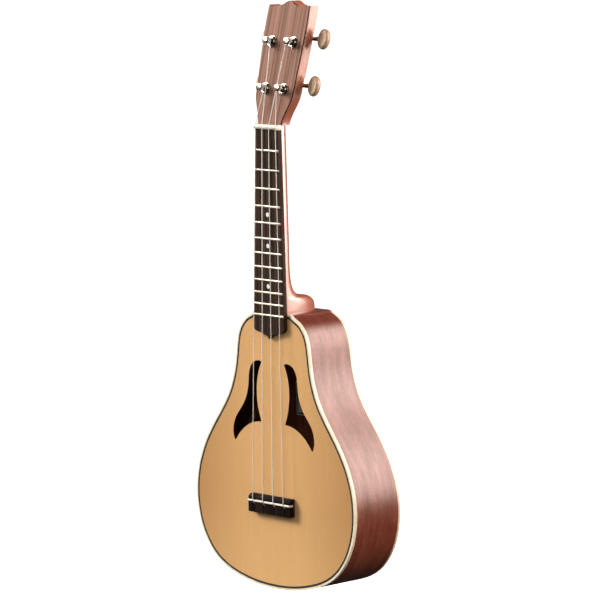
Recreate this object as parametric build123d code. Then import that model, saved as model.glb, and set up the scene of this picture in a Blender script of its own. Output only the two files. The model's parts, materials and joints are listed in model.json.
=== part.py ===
from build123d import *
from math import atan, cos, degrees, pi, radians, sin
import os

# A pear-bodied soprano ukulele with open-gear tuners, hanging upright.
# Lengths are millimetres. +X is the player's treble side seen from the front, the face looks
# along -Y and the strings run up along Z. Inside this file Z = 0 is the saddle line and Y = 0
# is the fingerboard's playing surface; each solid is moved at the end, so that the origin lies
# in the yoke of a wall hanger, under the flare of the headstock.

# ---------------------------------------------------------------- driving dimensions
SCALE_LENGTH = 348.0            # nut to saddle
HANGER_Y = 11.0                 # depth of the hanger's arms, inside the headstock's thickness
HANGER_Z = 372.0                # where the hanger's two arms carry the flare

FRET_COUNT = 12
NUT_HALF_WIDTH = 15.3
JOINT_HALF_WIDTH = 20.4         # fingerboard's half width at the twelfth fret
FINGERBOARD_THICKNESS = 4.6     # also the distance from playing surface to soundboard

BODY_TOP_Z = 175.8
BODY_BOTTOM_Z = -86.8
BODY_HALF_WIDTH = 108.0
WIDEST_Z = -4.0
DEPTH_AT_TOP = 54.5             # soundboard's face to the back's face, at the neck joint
DEPTH_AT_BOTTOM = 62.0
PLATE_THICKNESS = 2.3           # soundboard and back
RIB_THICKNESS = 2.0
BINDING_DEPTH = 2.8             # how far the binding reaches down the side
PURFLING_WIDTH = 2.1

HEAD_TILT = 14.2                # degrees, backwards
HEAD_Y = 3.0                    # veneer's face where it leaves the nut
NUT_THICKNESS = 4.6
HEAD_THICKNESS = 12.0           # with its veneer
VENEER_THICKNESS = 1.8

STRING_NAMES = ("g", "c", "e", "a")
STRING_RADII = {"g": 0.36, "c": 0.46, "e": 0.41, "a": 0.34}
NUT_SPREAD = 26.9               # outer string to outer string
SADDLE_SPREAD = 41.7
STRING_Y_AT_NUT = -1.5          # string centres
SADDLE_TOP_Y = -3.4
STRING_SEAT = 0.1               # how deep a string lies in the saddle

POSTS = {"g": (-12.0, 33.4), "c": (-14.2, 77.8), "e": (14.2, 77.8), "a": (12.0, 33.4)}
POST_RADIUS = 3.0
POST_HEIGHT = 10.2              # stands proud of the veneer
WINDING_TURNS = 2
STRING_LEVEL = 5.9              # string's height over the veneer at its post
RUNNING_GAP = 0.05              # radial clearance of shafts in their holes
BUSHING_SLEEVE_RADIUS = 4.2
BUSHING_SLEEVE_LENGTH = 8.0
WASHER_RADIUS = 5.85
WASHER_THICKNESS = 0.8
HEX_ACROSS_FLATS = 9.6
HEX_HEIGHT = 2.2

TEETH = 14
GEAR_OUTER_RADIUS = 5.75
GEAR_ROOT_RADIUS = 4.55
GEAR_THICKNESS = 3.4
WORM_OUTER_RADIUS = 2.5
WORM_ROOT_RADIUS = 1.3
WORM_DISTANCE = 7.2             # post's axis to worm's axis
WORM_LENGTH = 7.2
WORM_PITCH = 2 * pi * (WORM_DISTANCE - 1.9) / TEETH
SHAFT_RADIUS = 1.5
COLLAR_RADIUS = 2.0             # the shaft between its outer ear and the button
TUNER_PLATE_THICKNESS = 1.0
GEAR_GAP = 1.1                  # between the plate and the gear
GEAR_BACK = HEAD_THICKNESS + TUNER_PLATE_THICKNESS + GEAR_GAP + GEAR_THICKNESS
WORM_BACK = GEAR_BACK - GEAR_THICKNESS / 2       # depth of the worm's axis behind the veneer
EAR_INNER_X = -6.4
EAR_OUTER_X = 7.4
EAR_THICKNESS = 1.8
EAR_REACH = 3.6                 # ear's edge beyond the worm's axis
LOBE_RADIUS = 2.1               # round lobe at each ear's upper corner
LOBE_RISE = 5.4
BUTTON_X = 23.2                 # button's centre, out from the post's axis
BUTTON_LENGTH = 12.4
BUTTON_HEIGHT = 19.4
BUTTON_THICKNESS = 7.2
HUB_REACH = 0.6                 # the button's hub beyond its oval
SCREW_SPOTS = (-9.6, 14.6)      # along the plate from the post's axis
SCREW_RADIUS = 1.1

BRIDGE_HALF_WIDTH = 28.0
BRIDGE_TOP_Z = 2.2
BRIDGE_BOTTOM_Z = -14.8
BRIDGE_THICKNESS = 6.8
SADDLE_Z = -3.8
SADDLE_THICKNESS = 2.0

HEAD_Z = SCALE_LENGTH + NUT_THICKNESS
BIG = 200.0
BASE_DOWN = (Align.CENTER, Align.CENTER, Align.MIN)
BASE_UP = (Align.CENTER, Align.CENTER, Align.MAX)
OFFSET_STEPS = 48               # points along a half outline when it is moved inwards
TOP = FINGERBOARD_THICKNESS     # soundboard's face
FACE_IN = TOP + PLATE_THICKNESS  # soundboard's inner face
BACK_SLOPE = (DEPTH_AT_BOTTOM - DEPTH_AT_TOP) / (BODY_TOP_Z - BODY_BOTTOM_Z)
BACK_TILT = degrees(atan(BACK_SLOPE))

# ---------------------------------------------------------------- outlines, seen from the front
# Right half of the body, from the tail up to the shoulder.
BODY_POINTS = [
    (0, BODY_BOTTOM_Z), (46.5, -81.2), (77.9, -68.0), (96.9, -47.1), (BODY_HALF_WIDTH, WIDEST_Z),
    (104.6, 20.5), (93.5, 47.3), (77.0, 71.6), (61.0, 95.6), (52.8, 118.0), (49.7, 137.0),
    (48.0, 148.5), (45.3, 157.0), (40.6, 164.3), (33.6, 170.2), (26.8, 173.8), (20.0, BODY_TOP_Z),
]
# Right sound hole: outer edge downwards, lower edge inwards, inner edge upwards.
HOLE_OUTER = [(15.0, 128.4), (21.5, 129.0), (28.0, 125.6), (32.0, 118.5), (33.4, 106.0),
              (36.6, 93.5), (42.6, 83.2), (50.4, 73.6), (54.8, 62.5), (52.2, 49.4)]
HOLE_LOWER = [(52.2, 49.4), (43.4, 60.0), (31.5, 67.9), (15.8, 71.2)]
HOLE_INNER = [(15.8, 71.2), (20.2, 84.0), (22.0, 98.0), (20.2, 115.5), (15.0, 128.4)]
# Right half of the headstock, heights over the nut.
HEAD_SIDE = [(NUT_HALF_WIDTH, -0.6), (16.2, 5.2), (19.4, 13.4), (23.0, 22.0), (24.7, 35.0),
             (25.8, 57.0), (27.0, 80.0), (26.5, 109.6)]
HEAD_CROWN = [(26.5, 109.6), (18.5, 108.5), (10.8, 109.4), (5.0, 111.9), (0, 113.6)]
# Right half of the fingerboard's end, an ogee from its corner to its point.
BOARD_END = [(20.8, 161.8), (17.0, 158.4), (9.0, 156.6), (3.6, 154.6), (0, 151.6)]
# The heel from the side: (depth, height), from where it leaves the neck down to its cap.
HEEL_SIDE = [(17.0, 232.0), (19.0, 208.0), (25.0, 196.4), (36.0, 191.0), (48.0, 189.2),
             (54.6, 185.2), (57.6, BODY_TOP_Z)]


def slab(face, y_front, y_back):
    """Solid of a front-view face between two depths."""
    return extrude(Plane.XZ.offset(-y_back) * face, amount=y_back - y_front)


def side_solid(points, half_width=BIG):
    """Solid of a side-view polygon of (y, z) points, across the whole width."""
    face = make_face(Polyline(*points, close=True))
    return extrude(Plane.YZ * face, amount=half_width, both=True)


def symmetric_face(*half_edges):
    """Face of a right half that starts and ends on the centre line, and its mirror image."""
    edges = []
    for edge in half_edges:
        edges += [edge, edge.mirror(Plane.YZ)]
    return make_face(edges)


def back_y(z, inset=0.0):
    """Depth of the back's outer face at a height, or of a layer inset inside it."""
    return TOP + DEPTH_AT_TOP + (BODY_TOP_Z - z) * BACK_SLOPE - inset


def depth_layer(front, inset, inset_back=None):
    """Everything from a depth, or from a layer inset_back under the back's face, to the back."""
    low, high = BODY_BOTTOM_Z - 20, BODY_TOP_Z + 20
    if inset_back is None:
        front_low = front_high = front
    else:
        front_low, front_high = back_y(low, inset_back), back_y(high, inset_back)
    return side_solid([(front_low, low), (front_high, high),
                       (back_y(high, inset), high), (back_y(low, inset), low)])


def body_side(inset=0.0):
    """Right half of the body's outline, moved inwards along its normals by an inset."""
    level = [(1, 0), (-1, 0)]
    side = Spline(*BODY_POINTS, tangents=level)
    if inset == 0:
        return side
    points = []
    for i in range(OFFSET_STEPS + 1):
        place, along = side @ (i / OFFSET_STEPS), side % (i / OFFSET_STEPS)
        points.append((place.X - inset * along.Y, place.Y + inset * along.X))
    return Spline(*points, tangents=level)


def body_face(inset=0.0):
    """The body's outline, moved inwards by an inset."""
    side = body_side(inset)
    shoulder = Line(side @ 1, (0, BODY_TOP_Z - inset))
    return symmetric_face(side, shoulder)


def body_ring(outer, inner):
    return body_face(outer) - body_face(inner)


def group(shapes):
    """Separate solids kept together in one node."""
    return Compound([solid for shape in shapes for solid in shape.solids()])


def full_depth(face):
    return slab(face, TOP, back_y(BODY_BOTTOM_Z) + 5)


def block(x_half, z_low, z_high, y_front, y_back):
    centre = ((y_front + y_back) / 2, (z_low + z_high) / 2)
    box = Box(2 * x_half, y_back - y_front, z_high - z_low)
    return Pos(0, *centre) * box


# ---------------------------------------------------------------- body
def sound_hole():
    face = make_face([Spline(*HOLE_OUTER), Spline(*HOLE_LOWER), Spline(*HOLE_INNER)])
    return fillet(face.vertices(), 0.9)


def soundboard():
    plate = body_face(RIB_THICKNESS + PURFLING_WIDTH)
    hole = sound_hole()
    plate = plate - hole - mirror(hole, Plane.YZ)
    return slab(plate, TOP, FACE_IN)


def back_plate():
    return full_depth(body_face(RIB_THICKNESS)) & depth_layer(0, 0, PLATE_THICKNESS)


def ribs():
    walls = full_depth(body_ring(0, RIB_THICKNESS))
    walls &= depth_layer(TOP + BINDING_DEPTH, BINDING_DEPTH)
    half = Box(BIG, BIG, 4 * BIG)
    right = walls & Pos(BIG / 2, back_y(0) / 2, 0) * half
    left = walls & Pos(-BIG / 2, back_y(0) / 2, 0) * half
    return left, right


def front_binding():
    return slab(body_ring(0, RIB_THICKNESS), TOP, TOP + BINDING_DEPTH)


def front_purfling():
    return slab(body_ring(RIB_THICKNESS, RIB_THICKNESS + PURFLING_WIDTH), TOP, FACE_IN)


def back_binding():
    return full_depth(body_ring(0, RIB_THICKNESS)) & depth_layer(0, 0, BINDING_DEPTH)


NECK_BLOCK = dict(half=26.0, thickness=22.0)
TAIL_BLOCK = dict(half=24.0, thickness=12.0)
INNER_TOP_Z = BODY_TOP_Z - RIB_THICKNESS
LINING_WIDTH = 4.5
LINING_DEPTH = 9.0


def end_block(half, z_low, z_high):
    body = full_depth(body_face(RIB_THICKNESS)) & depth_layer(FACE_IN, PLATE_THICKNESS)
    return body & block(half, z_low, z_high, 0, 90)


def neck_block():
    return end_block(NECK_BLOCK["half"], INNER_TOP_Z - NECK_BLOCK["thickness"], INNER_TOP_Z + 5)


def tail_block():
    low = BODY_BOTTOM_Z - 5
    return end_block(TAIL_BLOCK["half"], low, BODY_BOTTOM_Z + RIB_THICKNESS + TAIL_BLOCK["thickness"])


def lining_face():
    """Outline of the strips inside the ribs, stopping at the two end blocks."""
    ring = body_ring(RIB_THICKNESS, RIB_THICKNESS + LINING_WIDTH)
    neck_low = INNER_TOP_Z - NECK_BLOCK["thickness"]
    tail_high = BODY_BOTTOM_Z + RIB_THICKNESS + TAIL_BLOCK["thickness"]
    neck_gap = Pos(0, neck_low + BIG / 2) * Rectangle(2 * NECK_BLOCK["half"], BIG)
    tail_gap = Pos(0, tail_high - BIG / 2) * Rectangle(2 * TAIL_BLOCK["half"], BIG)
    return ring - neck_gap - tail_gap


def front_linings():
    return slab(lining_face(), FACE_IN, FACE_IN + LINING_DEPTH)


def back_linings():
    layer = depth_layer(0, PLATE_THICKNESS, PLATE_THICKNESS + LINING_DEPTH)
    return full_depth(lining_face()) & layer


def brace(length, width, height):
    """A bar lying along X on the plane Y = 0, reaching to +Y, with both ends scooped down."""
    half, tip = length / 2, 1.6
    shape = make_face(Polyline((-half, 0), (half, 0), (half, tip), (half - 16, height),
                               (-half + 16, height), (-half, tip), close=True))
    return extrude(shape, amount=width / 2, both=True)


FRONT_BARS = ((139.0, 76.0), (38.0, 176.0))      # height, length
BACK_BARS = ((140.0, 76.0), (28.0, 180.0), (-34.0, 184.0))
FAN_BARS = ((-30.0, 12.0), (0.0, 0.0), (30.0, -12.0))    # place along X, slant in degrees
BRIDGE_PATCH_THICKNESS = 2.0


def front_braces():
    bars = [Pos(0, FACE_IN, z) * brace(length, 6.0, 7.5) for z, length in FRONT_BARS]
    return group(bars)


def fan_braces():
    bars = []
    for x, slant in FAN_BARS:
        bar = Rot(0, 90 + slant, 0) * brace(66.0, 4.0, 4.5)
        bars.append(Pos(x, FACE_IN + BRIDGE_PATCH_THICKNESS, -12.0) * bar)
    return group(bars)


def bridge_patch():
    return block(36.0, -19.0, 6.0, FACE_IN, FACE_IN + BRIDGE_PATCH_THICKNESS)


def back_braces():
    """Bars across the inside of the back, each square to the back's slope."""
    bars = []
    for z, length in BACK_BARS:
        bar = Rot(BACK_TILT + 180, 0, 0) * brace(length, 6.0, 8.0)
        bars.append(Pos(0, back_y(z, PLATE_THICKNESS), z) * bar)
    return group(bars)


GLUE_GAP = 0.01
LABEL_BOX = dict(left=-25.0, right=17.0, low=70.5, high=103.0, thickness=0.25)


def paper_label():
    """Blank paper label glued inside the back, behind the sound holes."""
    width = LABEL_BOX["right"] - LABEL_BOX["left"]
    height = LABEL_BOX["high"] - LABEL_BOX["low"]
    sheet = Box(width, LABEL_BOX["thickness"], height)
    middle = (LABEL_BOX["low"] + LABEL_BOX["high"]) / 2
    y = back_y(middle, PLATE_THICKNESS + LABEL_BOX["thickness"] / 2 + GLUE_GAP)
    across = (LABEL_BOX["left"] + LABEL_BOX["right"]) / 2
    return Pos(across, y, middle) * Rot(BACK_TILT, 0, 0) * sheet


# ---------------------------------------------------------------- headstock frame
def head_place(x, s, depth=0.0):
    """Place on the headstock: across, along the face from the nut, and behind the face.

    Its local X stays +X, local Y runs along the face towards the tip, local Z comes out of
    the face towards the player.
    """
    tilt = radians(HEAD_TILT)
    y = HEAD_Y + s * sin(tilt) + depth * cos(tilt)
    z = HEAD_Z + s * cos(tilt) - depth * sin(tilt)
    normal = (0, -cos(tilt), sin(tilt))
    return Location(Plane(origin=(x, y, z), x_dir=(1, 0, 0), z_dir=normal))


def head_face():
    """The headstock's outline in the front view."""
    side = Spline(*[(x, HEAD_Z + u) for x, u in HEAD_SIDE])
    crown = Spline(*[(x, HEAD_Z + u) for x, u in HEAD_CROWN], tangents=[(-1, -0.35), (-1, 0.1)])
    foot = Line((0, HEAD_Z + HEAD_SIDE[0][1]), (HEAD_SIDE[0][0], HEAD_Z + HEAD_SIDE[0][1]))
    return symmetric_face(foot, side, crown)


def head_layer(front, back):
    """Everything between two depths behind the headstock's face."""
    reach = 60.0
    corners = []
    for depth, s in ((front, -reach), (front, 140.0), (back, 140.0), (back, -reach)):
        position = head_place(0, s, depth).position
        corners.append((position.Y, position.Z))
    return side_solid(corners)


def above(z):
    return block(BIG, z, z + 2 * BIG, -BIG, BIG)


# ---------------------------------------------------------------- neck
NECK_POWER = 2.5                # roundness of the neck's section: 2 is an ellipse
HEEL_POWER = 1.9                # roundness at the heel's cap
HEEL_STEPS = 24
NECK_THICKNESS_AT_NUT = 11.6


def board_half_width(z):
    slope = (JOINT_HALF_WIDTH - NUT_HALF_WIDTH) / (SCALE_LENGTH / 2)
    return NUT_HALF_WIDTH + slope * (SCALE_LENGTH - z)


def neck_section(z, thickness, power):
    """The neck's D-shaped section, flat at the front."""
    half_width = board_half_width(z)
    count = 16
    points = []
    for i in range(count + 1):
        angle = pi * i / count
        x = abs(cos(angle)) ** (2 / power) * half_width * (1 if i < count / 2 else -1)
        y = sin(angle) ** (2 / power) * thickness
        points.append((x, TOP + y))
    points[0], points[-1] = (half_width, TOP), (-half_width, TOP)
    outline = [Spline(*points, tangents=[(0, 1), (0, -1)]), Line(points[-1], points[0])]
    return Plane.XY.offset(z) * make_face(outline)


def neck_shaft():
    """The neck from behind the nut to the heel's cap, deeper and more pointed at the heel."""
    side = Spline(*HEEL_SIDE, tangents=[(0.03, -1), (0.1, -1)])
    sections = [neck_section(HEAD_Z + 9, NECK_THICKNESS_AT_NUT, NECK_POWER)]
    for i in range(HEEL_STEPS + 1):
        share = i / HEEL_STEPS
        place = side @ share
        power = NECK_POWER + (HEEL_POWER - NECK_POWER) * share
        sections.append(neck_section(place.Y, place.X - TOP, power))
    return loft(sections, ruled=True)


def tuner_holes():
    """Bores through the headstock for the bushings and posts, and the screws' pilot holes."""
    cuts = []
    for x, s in POSTS.values():
        bore = Cylinder(BUSHING_SLEEVE_RADIUS, HEAD_THICKNESS + 3, align=BASE_UP)
        cuts.append(head_place(x, s, -1) * bore)
        for spot in SCREW_SPOTS:
            pilot = Cylinder(SCREW_RADIUS, SCREW_LENGTH, align=BASE_DOWN)
            cuts.append(head_place(x, s + spot, HEAD_THICKNESS) * pilot)
    return cuts


def neck():
    shaft = neck_shaft() - head_layer(-BIG, VENEER_THICKNESS)
    nut_seat = block(BIG, SCALE_LENGTH - 1, HEAD_Z, -BIG, TOP)
    head = slab(head_face(), -5, 60) & head_layer(VENEER_THICKNESS, HEAD_THICKNESS)
    solid = shaft + head - nut_seat
    for cut in tuner_holes():
        solid -= cut
    return solid


def headstock_veneer():
    veneer = slab(head_face(), -5, 60) & head_layer(0, VENEER_THICKNESS) & above(HEAD_Z)
    for x, s in POSTS.values():
        veneer -= head_place(x, s, -1) * Cylinder(BUSHING_SLEEVE_RADIUS, 10)
    return veneer


# ---------------------------------------------------------------- fingerboard, frets and nut
FRET_HALF_WIDTH = 1.0
FRET_HEIGHT = 0.9
TANG_HALF_WIDTH = 0.3
TANG_DEPTH = 1.7
MARKER_FRETS = (5, 7, 10)
MARKER_RADIUS = 2.1
MARKER_DEPTH = 1.0
POCKET_GAP = 0.3                # slots are deeper than the tangs


def fret_z(number):
    return SCALE_LENGTH * 2 ** (-number / 12)


def tang_slot(number, depth):
    z = fret_z(number)
    half = board_half_width(z) - 0.15
    return block(half, z - TANG_HALF_WIDTH, z + TANG_HALF_WIDTH, 0, depth)


def marker_place(fret):
    return Pos(0, 0, (fret_z(fret) + fret_z(fret - 1)) / 2) * Rot(-90, 0, 0)


def marker_disc(fret):
    return marker_place(fret) * Cylinder(MARKER_RADIUS, MARKER_DEPTH, align=BASE_DOWN)


def fingerboard():
    nut_corner = (NUT_HALF_WIDTH, SCALE_LENGTH)
    end_curve = Spline(*BOARD_END, tangents=[(-0.45, -1), (-0.6, -1)])
    edge = Line(nut_corner, BOARD_END[0])
    nut_edge = Line((0, SCALE_LENGTH), nut_corner)
    board = slab(symmetric_face(nut_edge, edge, end_curve), 0, FINGERBOARD_THICKNESS)
    for number in range(1, FRET_COUNT + 1):
        board -= tang_slot(number, TANG_DEPTH + POCKET_GAP)
    for fret in MARKER_FRETS:
        board -= marker_disc(fret)
    return board


def fret(number):
    """T-shaped fret wire with a round crown and bevelled ends."""
    z = fret_z(number)
    half = board_half_width(z)
    crown_arc = ThreePointArc((-FRET_HALF_WIDTH, 0), (0, FRET_HEIGHT), (FRET_HALF_WIDTH, 0))
    crown_face = make_face([crown_arc, Line((FRET_HALF_WIDTH, 0), (-FRET_HALF_WIDTH, 0))])
    section = Plane(origin=(0, 0, z), x_dir=(0, 0, 1), z_dir=(1, 0, 0))
    crown = extrude(section * crown_face, amount=half, both=True)
    bevel = make_face(Polyline((-half, 0), (half, 0), (half - 0.7, -FRET_HEIGHT - 0.1),
                               (-half + 0.7, -FRET_HEIGHT - 0.1), close=True))
    crown &= extrude(Plane.XY.offset(z - 2) * bevel, amount=4)
    tang = block(half - 0.15, z - TANG_HALF_WIDTH, z + TANG_HALF_WIDTH, 0, TANG_DEPTH)
    return crown + tang


def frets():
    return group([fret(number) for number in range(1, FRET_COUNT + 1)])


def fret_markers():
    return group([marker_disc(number) for number in MARKER_FRETS])


def string_x(name, spread):
    index = STRING_NAMES.index(name)
    return spread * (index / 3 - 0.5)


def string_bar(name, start, end):
    """A straight piece of string between two points."""
    axis = Vector(*end) - Vector(*start)
    plane = Plane(origin=start, z_dir=axis)
    return extrude(plane * Circle(STRING_RADII[name]), amount=axis.length)


def string_points(name):
    """Corners of a string's path: post, nut, saddle and its hole in the bridge."""
    radius = STRING_RADII[name]
    post_x, post_s = POSTS[name]
    inward = -1 if post_x > 0 else 1
    tangent_x = post_x + inward * (POST_RADIUS + radius + RUNNING_GAP)
    nut_x, saddle_x = string_x(name, NUT_SPREAD), string_x(name, SADDLE_SPREAD)
    post_point = tuple(head_place(tangent_x, post_s, -STRING_LEVEL).position)
    nut_back = (nut_x, STRING_Y_AT_NUT + 0.1, HEAD_Z - 0.6)
    nut_front = (nut_x, STRING_Y_AT_NUT, SCALE_LENGTH + 0.4)
    saddle = (saddle_x, SADDLE_TOP_Y + STRING_SEAT - radius, SADDLE_Z)
    hole = (saddle_x, 1.6, SADDLE_Z - 6.4)
    return [post_point, nut_back, nut_front, saddle, hole]


def string(name):
    points = string_points(name)
    solid = None
    for start, end in zip(points, points[1:]):
        bar = string_bar(name, start, end)
        solid = bar if solid is None else solid + bar
    for corner in points[1:-1]:
        solid += Pos(*corner) * Sphere(STRING_RADII[name])
    return solid


def nut():
    """White nut with a rounded top and one groove for each string."""
    high, low = -2.3, TOP
    front_edge, back_edge = (high + 1.4, SCALE_LENGTH), (high + 0.9, HEAD_Z)
    top_arc = ThreePointArc(front_edge, (high, SCALE_LENGTH + 1.6), back_edge)
    sides = Polyline(back_edge, (low, HEAD_Z), (low, SCALE_LENGTH), front_edge)
    section = make_face([top_arc] + sides.edges())
    solid = extrude(Plane.YZ * section, amount=NUT_HALF_WIDTH, both=True)
    for name in STRING_NAMES:
        points = string_points(name)
        width = 2 * (STRING_RADII[name] + 0.06)
        reach = Pos(string_x(name, NUT_SPREAD), -6.0, SCALE_LENGTH + NUT_THICKNESS / 2)
        bottom = STRING_Y_AT_NUT + STRING_RADII[name] + 0.12
        solid -= reach * Box(width, 2 * (bottom + 6.0), 3 * NUT_THICKNESS)
        solid -= string_bar(name, points[0], points[1])
    return solid


# ---------------------------------------------------------------- bridge and saddle
SADDLE_SLOT_DEPTH = 4.4
STRING_SLOT_HALF_WIDTH = 0.7
BRIDGE_FRONT = TOP - BRIDGE_THICKNESS


def bridge():
    high, low = BRIDGE_TOP_Z, BRIDGE_BOTTOM_Z
    body = block(BRIDGE_HALF_WIDTH, low, high, BRIDGE_FRONT, TOP)
    body = fillet(body.edges().filter_by(Axis.Y), 0.5)
    bevel = 2.6
    body -= side_solid([(BRIDGE_FRONT - 0.1, high - bevel), (BRIDGE_FRONT - 0.1, high + 0.1),
                        (BRIDGE_FRONT + bevel, high + 0.1)])
    body -= block(BIG, SADDLE_Z - SADDLE_THICKNESS / 2, SADDLE_Z + SADDLE_THICKNESS / 2,
                  BRIDGE_FRONT - 1, BRIDGE_FRONT + SADDLE_SLOT_DEPTH)
    for name in STRING_NAMES:
        x = string_x(name, SADDLE_SPREAD)
        slot_top = SADDLE_Z - SADDLE_THICKNESS / 2
        slot = Box(2 * STRING_SLOT_HALF_WIDTH, 5.0, slot_top - low + 1)
        body -= Pos(x, BRIDGE_FRONT + 1.9, (slot_top + low - 1) / 2) * slot
        body -= Pos(x, BRIDGE_FRONT + 3.4, low + 2.4) * Cylinder(1.5, 5.0)
        body -= string_channel(name)
    return body


def string_channel(name):
    """Room around a string where it drops from the saddle into its slot."""
    start, end = string_points(name)[3:5]
    axis = Vector(*end) - Vector(*start)
    plane = Plane(origin=start, z_dir=axis)
    return extrude(plane * Circle(STRING_RADII[name] + 0.15), amount=axis.length + 1)


def saddle():
    half = SADDLE_THICKNESS / 2
    bottom = BRIDGE_FRONT + SADDLE_SLOT_DEPTH
    shoulder = SADDLE_TOP_Y + 0.7
    crown = ThreePointArc((shoulder, -half), (SADDLE_TOP_Y, 0), (shoulder, half))
    sides = Polyline((shoulder, half), (bottom, half), (bottom, -half), (shoulder, -half))
    section = make_face([crown] + sides.edges())
    bar = extrude(Plane(origin=(0, 0, SADDLE_Z), x_dir=(0, 1, 0), z_dir=(1, 0, 0)) * section,
                  amount=BRIDGE_HALF_WIDTH, both=True)
    for name in STRING_NAMES:
        points = string_points(name)
        bar -= string_bar(name, points[2], points[3]) + string_bar(name, points[3], points[4])
        bar -= Pos(*points[3]) * Sphere(STRING_RADII[name])
    return bar


# ---------------------------------------------------------------- tuners, in the headstock frame
# Local X runs outwards from the post, local Y towards the headstock's tip, local Z to the front.
SCREW_LENGTH = 7.0


def disc(radius, z_low, z_high, x=0.0, y=0.0):
    return Pos(x, y, (z_low + z_high) / 2) * Cylinder(radius, z_high - z_low)


def rod_along_x(radius, x_low, x_high):
    """A rod on the worm's axis."""
    rod = Rot(0, 90, 0) * Cylinder(radius, x_high - x_low)
    return Pos((x_low + x_high) / 2, WORM_DISTANCE, -WORM_BACK) * rod


def post():
    back_end = -(GEAR_BACK + 0.6)
    solid = disc(POST_RADIUS, -(GEAR_BACK - GEAR_THICKNESS), POST_HEIGHT - 1.2)
    solid += disc(POST_RADIUS + 0.35, POST_HEIGHT - 1.2, POST_HEIGHT)
    solid += disc(2.2, -GEAR_BACK, -(GEAR_BACK - GEAR_THICKNESS))
    solid = chamfer(solid.edges().group_by(Axis.Z)[-1], 0.4)
    solid -= Pos(0, 0, POST_HEIGHT - 1.9) * Rot(90, 0, 0) * Cylinder(0.5, 20)
    solid -= disc(1.0, back_end - 1, -(GEAR_BACK - 5.0))
    return solid


def gear():
    """Fourteen-tooth wheel with a gap, not a tooth, facing the worm."""
    half_root, half_tip = 0.6, 0.25
    wheel = Circle(GEAR_ROOT_RADIUS)
    foot = GEAR_ROOT_RADIUS - 0.3
    tooth = make_face(Polyline((foot, -half_root), (foot, half_root), (GEAR_OUTER_RADIUS, half_tip),
                               (GEAR_OUTER_RADIUS, -half_tip), close=True))
    step = 360 / TEETH
    for i in range(TEETH):
        wheel += Rot(0, 0, 90 + step * (i + 0.5)) * tooth
    solid = extrude(Pos(0, 0, -GEAR_BACK) * wheel, amount=GEAR_THICKNESS)
    return solid - disc(2.2, -GEAR_BACK - 1, 0)


def gear_screw():
    head = disc(2.6, -GEAR_BACK - 1.6, -GEAR_BACK)
    head = fillet(head.edges().group_by(Axis.Z)[0], 0.7)
    head -= Pos(0, 0, -GEAR_BACK - 1.6) * Box(7, 0.7, 1.4)
    return head + disc(1.0, -GEAR_BACK, -(GEAR_BACK - 4.8))


def worm_shaft():
    """Shaft with a single-start worm over the gear, its two journals and the button's stub."""
    inner_end, outer_end = EAR_INNER_X - EAR_THICKNESS / 2 - 0.8, BUTTON_X - BUTTON_LENGTH / 2
    worm_half = WORM_LENGTH / 2
    solid = rod_along_x(SHAFT_RADIUS, inner_end, -worm_half)
    solid += rod_along_x(WORM_ROOT_RADIUS, -worm_half, worm_half)
    solid += rod_along_x(SHAFT_RADIUS, worm_half, outer_end)
    solid += rod_along_x(SHAFT_RADIUS - 0.4, outer_end, outer_end + 7)
    ear_face = EAR_OUTER_X + EAR_THICKNESS / 2
    solid += rod_along_x(COLLAR_RADIUS, ear_face + 0.15, outer_end - HUB_REACH - 0.05)
    return solid + worm_thread(worm_half)


def worm_thread(worm_half):
    """Right-handed thread whose ridge faces the gear's gap at the middle of the worm."""
    turns = 2.4
    height = turns * WORM_PITCH
    radius = (WORM_ROOT_RADIUS + WORM_OUTER_RADIUS) / 2
    path = Helix(pitch=WORM_PITCH, height=height, radius=radius)
    depth = WORM_OUTER_RADIUS - WORM_ROOT_RADIUS + 0.15
    section_plane = Plane(origin=path @ 0, x_dir=(1, 0, 0), z_dir=path % 0)
    ridge = make_face(Polyline((-depth / 2, -0.55), (depth / 2, -0.25), (depth / 2, 0.25),
                               (-depth / 2, 0.55), close=True))
    thread = sweep(section_plane * ridge, path=path, is_frenet=True)
    # The helix starts on its local +X. Half its turns lie below the middle, and the ridge at the
    # middle has to face local -Y of the headstock frame, where the gear is.
    middle_angle = 360 * (turns / 2)
    thread = Pos(0, 0, -height / 2) * thread
    thread = Rot(0, 0, -middle_angle) * thread
    thread = Rot(0, 90, 0) * Rot(0, 0, -90) * thread
    return Pos(0, WORM_DISTANCE, -WORM_BACK) * thread


def button():
    """Oval button, flat at the front and back with a crowned rim, on the end of the shaft."""
    half = (BUTTON_LENGTH / 2, BUTTON_HEIGHT / 2, BUTTON_THICKNESS / 2)
    oval = make_face(Ellipse(half[0], half[1]).edges())
    solid = extrude(oval, amount=half[2], both=True)
    solid = fillet(solid.edges(), 2.2)
    stub_start = BUTTON_X - BUTTON_LENGTH / 2
    solid = Pos(BUTTON_X, WORM_DISTANCE, -WORM_BACK) * solid
    solid += rod_along_x(2.6, stub_start - HUB_REACH, stub_start + 2.5)
    solid -= rod_along_x(SHAFT_RADIUS, -10, stub_start)
    return solid - rod_along_x(SHAFT_RADIUS - 0.4, stub_start - 1, stub_start + 7)


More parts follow.
